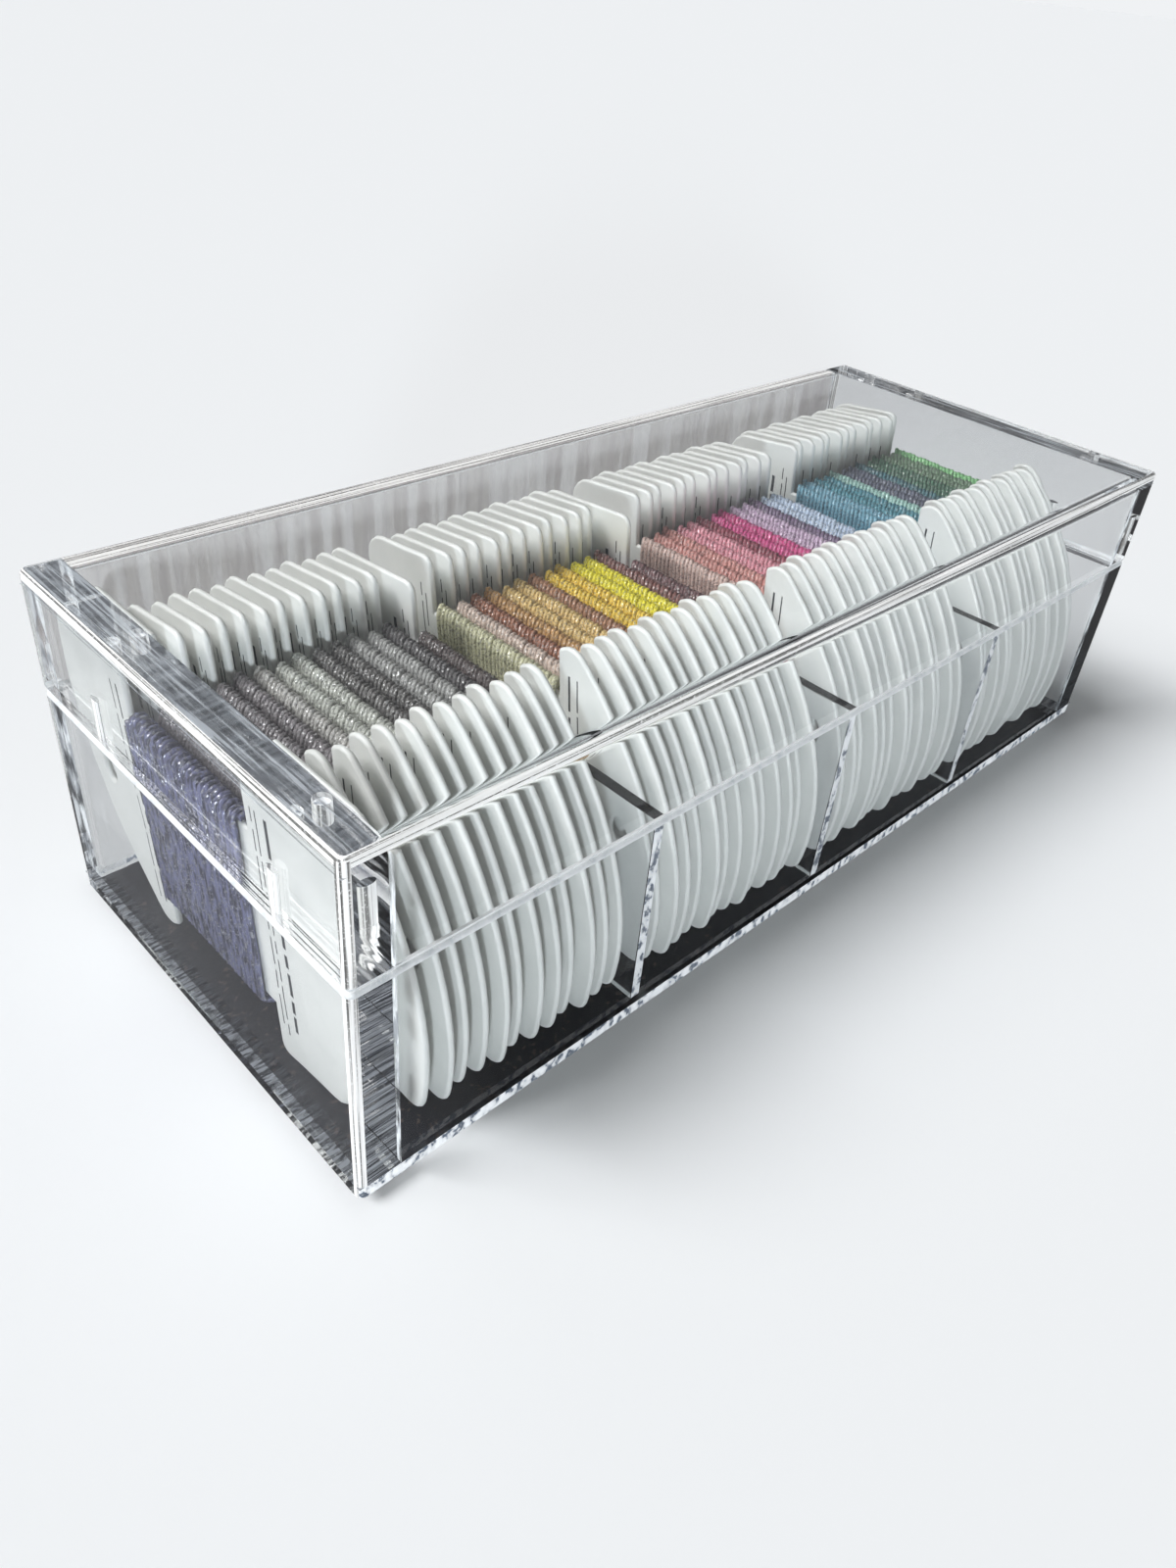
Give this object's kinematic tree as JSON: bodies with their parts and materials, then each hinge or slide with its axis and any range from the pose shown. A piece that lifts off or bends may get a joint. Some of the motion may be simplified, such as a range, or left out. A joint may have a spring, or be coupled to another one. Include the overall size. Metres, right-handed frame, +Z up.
{
  "type": "embroidery thread box",
  "caption": "Clear lidded box with dividers, holding rows of cards wound with metallic embroidery thread; the lid lifts off over locating pins.",
  "frame": {"origin": "middle of the underside", "axes": "+X along the box, +Z up, -Y towards the side where the cards' round tabs show"},
  "size_m": [0.251, 0.102, 0.0755],
  "materials": {
    "clear_acrylic": "clear, polished",
    "black_sheet": "black satin",
    "card": "smooth white card",
    "thread_lavender": "metallic embroidery thread",
    "thread_pewter": "metallic embroidery thread",
    "thread_silver": "metallic embroidery thread",
    "thread_mist": "metallic embroidery thread",
    "thread_graphite": "metallic embroidery thread",
    "thread_steel": "metallic embroidery thread",
    "thread_charcoal": "metallic embroidery thread",
    "thread_black_brown": "metallic embroidery thread",
    "thread_cream": "metallic embroidery thread",
    "thread_blush": "metallic embroidery thread",
    "thread_copper": "metallic embroidery thread",
    "thread_bronze": "metallic embroidery thread",
    "thread_pale_gold": "metallic embroidery thread",
    "thread_russet": "metallic embroidery thread",
    "thread_amber": "metallic embroidery thread",
    "thread_yellow": "metallic embroidery thread",
    "thread_maroon": "metallic embroidery thread",
    "thread_dark_maroon": "metallic embroidery thread",
    "thread_rose_beige": "metallic embroidery thread",
    "thread_salmon": "metallic embroidery thread",
    "thread_pink": "metallic embroidery thread",
    "thread_dark_rose": "metallic embroidery thread",
    "thread_magenta": "metallic embroidery thread",
    "thread_lilac": "metallic embroidery thread",
    "thread_plum": "metallic embroidery thread",
    "thread_ice_blue": "metallic embroidery thread",
    "thread_sky_blue": "metallic embroidery thread",
    "thread_teal": "metallic embroidery thread",
    "thread_aqua": "metallic embroidery thread",
    "thread_slate": "metallic embroidery thread",
    "thread_deep_teal": "metallic embroidery thread",
    "thread_dark_green": "metallic embroidery thread",
    "thread_sage": "metallic embroidery thread",
    "thread_bright_green": "metallic embroidery thread"
  },
  "bodies": {
    "box_base": {"base_back_wall": "clear_acrylic", "base_floor": "clear_acrylic", "base_front_wall": "clear_acrylic", "base_left_end": "clear_acrylic", "base_right_end": "clear_acrylic", "base_sheet": "black_sheet", "divider_left": "clear_acrylic", "divider_middle": "clear_acrylic", "divider_right": "clear_acrylic", "pins_left": "clear_acrylic", "pins_right": "clear_acrylic"},
    "lid": {"lid_back_wall": "clear_acrylic", "lid_front_wall": "clear_acrylic", "lid_left_end": "clear_acrylic", "lid_right_end": "clear_acrylic", "lid_top": "clear_acrylic"},
    "card_row_1": {"cards_row_1": "card", "first_card": "card", "thread_black_brown": "thread_black_brown", "thread_charcoal": "thread_charcoal", "thread_graphite": "thread_graphite", "thread_lavender": "thread_lavender", "thread_mist": "thread_mist", "thread_pewter": "thread_pewter", "thread_silver": "thread_silver", "thread_steel": "thread_steel", "wide_card_1": "card"},
    "card_row_2": {"cards_row_2": "card", "thread_amber": "thread_amber", "thread_blush": "thread_blush", "thread_bronze": "thread_bronze", "thread_copper": "thread_copper", "thread_cream": "thread_cream", "thread_dark_maroon": "thread_dark_maroon", "thread_maroon": "thread_maroon", "thread_pale_gold": "thread_pale_gold", "thread_russet": "thread_russet", "thread_yellow": "thread_yellow", "wide_card_2": "card"},
    "card_row_3": {"cards_row_3": "card", "thread_dark_rose": "thread_dark_rose", "thread_ice_blue": "thread_ice_blue", "thread_lilac": "thread_lilac", "thread_magenta": "thread_magenta", "thread_pink": "thread_pink", "thread_plum": "thread_plum", "thread_rose_beige": "thread_rose_beige", "thread_salmon": "thread_salmon"},
    "card_row_4": {"cards_row_4": "card", "thread_aqua": "thread_aqua", "thread_bright_green": "thread_bright_green", "thread_dark_green": "thread_dark_green", "thread_deep_teal": "thread_deep_teal", "thread_sage": "thread_sage", "thread_sky_blue": "thread_sky_blue", "thread_slate": "thread_slate", "thread_teal": "thread_teal"}
  },
  "joints": [
    {"name": "lid_lift", "type": "slide", "parent": "box_base", "child": "lid", "axis": [0, 0, 1], "range_m": [0, 0.16]},
    {"name": "row_1_lift", "type": "slide", "parent": "box_base", "child": "card_row_1", "axis": [0, 0, 1], "range_m": [0, 0.08]},
    {"name": "row_2_lift", "type": "slide", "parent": "box_base", "child": "card_row_2", "axis": [0, 0, 1], "range_m": [0, 0.08]},
    {"name": "row_3_lift", "type": "slide", "parent": "box_base", "child": "card_row_3", "axis": [0, 0, 1], "range_m": [0, 0.08]},
    {"name": "row_4_lift", "type": "slide", "parent": "box_base", "child": "card_row_4", "axis": [0, 0, 1], "range_m": [0, 0.08]}
  ],
  "couplings": [
    {"joint": "row_1_lift", "follows": "lid_lift", "ratio": 0.5},
    {"joint": "row_2_lift", "follows": "lid_lift", "ratio": 0.5},
    {"joint": "row_3_lift", "follows": "lid_lift", "ratio": 0.5},
    {"joint": "row_4_lift", "follows": "lid_lift", "ratio": 0.5}
  ]
}
